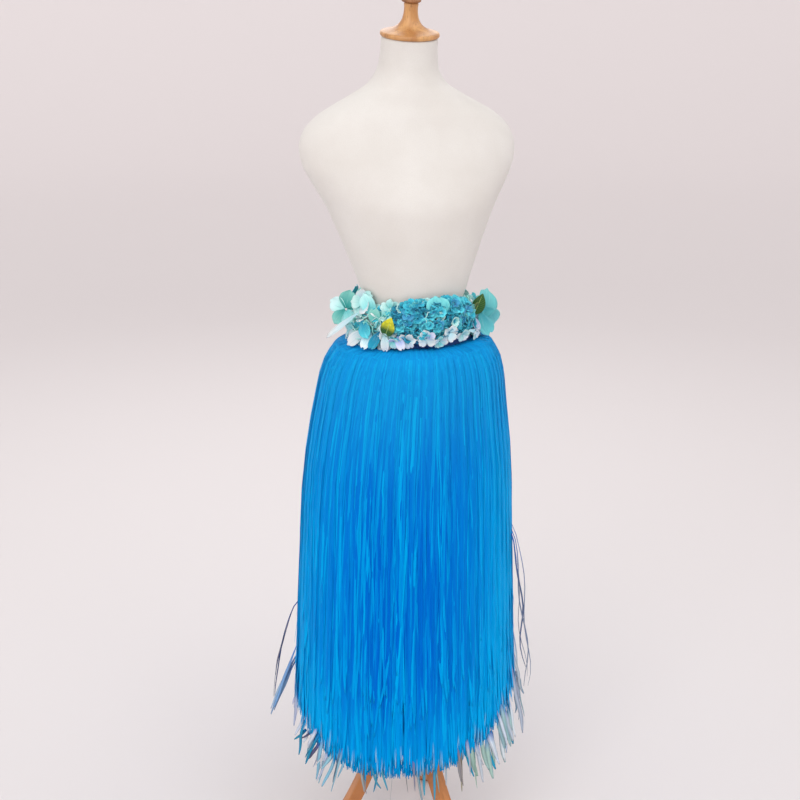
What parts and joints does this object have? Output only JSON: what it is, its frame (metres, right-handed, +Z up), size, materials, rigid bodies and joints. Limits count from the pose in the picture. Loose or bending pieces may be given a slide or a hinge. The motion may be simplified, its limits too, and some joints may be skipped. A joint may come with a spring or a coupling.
{
  "type": "grass skirt on a dress form",
  "caption": "Long skirt of fine hanging strands on a waistband, with a belt of cloth blooms round the waist, worn by a limbless dress form on a turned wooden tripod stand.",
  "frame": {"origin": "centre of the bottom face of the whole object's box, on the floor that the stand rests on", "axes": "+Z up; -Y the way the skirt's front faces; +X to the right of a viewer who looks at the front"},
  "size_m": [0.492, 0.3374, 1.5931],
  "materials": {
    "form_cover": "matte off-white stretch cloth, drawn smooth over the form",
    "turned_wood": "satin-varnished light golden wood",
    "finial_wood": "satin-varnished darker brown wood",
    "strands": "glossy bright blue plastic raffia strands",
    "stray_strands": "glossy pale blue-grey plastic raffia strands",
    "band": "woven dark blue ribbon",
    "petal_pale": "thin matte cloth petals, pale cyan to white",
    "petal_teal": "thin matte cloth petals, teal",
    "leaf": "thin matte cloth leaves, green"
  },
  "bodies": {
    "root": {"dress_form": "form_cover", "neck_cap": "turned_wood", "finial": "finial_wood", "base_disc": "turned_wood", "pole": "turned_wood", "hub": "turned_wood", "leg_1": "turned_wood", "leg_2": "turned_wood", "leg_3": "turned_wood", "waistband": "band", "hank_01": "strands", "hank_02": "strands", "hank_03": "strands", "hank_04": "strands", "hank_05": "strands", "hank_06": "strands", "hank_07": "strands", "hank_08": "strands", "hank_09": "strands", "hank_10": "strands", "hank_11": "strands", "hank_12": "strands", "hank_13": "strands", "hank_14": "strands", "hank_15": "strands", "hank_16": "strands", "stray_lock_left": "stray_strands", "stray_lock_right": "stray_strands", "bloom_01": "petal_pale", "bloom_02": "petal_pale", "bloom_03": "petal_pale", "bloom_04": "petal_pale", "bloom_05": "petal_pale", "bloom_06": "petal_pale", "bloom_07": "petal_teal", "bloom_08": "petal_teal", "bloom_09": "petal_teal", "bloom_10": "petal_teal", "bloom_11": "petal_teal", "bloom_12": "petal_teal", "leaf_1": "leaf", "leaf_2": "leaf", "leaf_3": "leaf", "leaf_4": "leaf"}
  },
  "joints": []
}
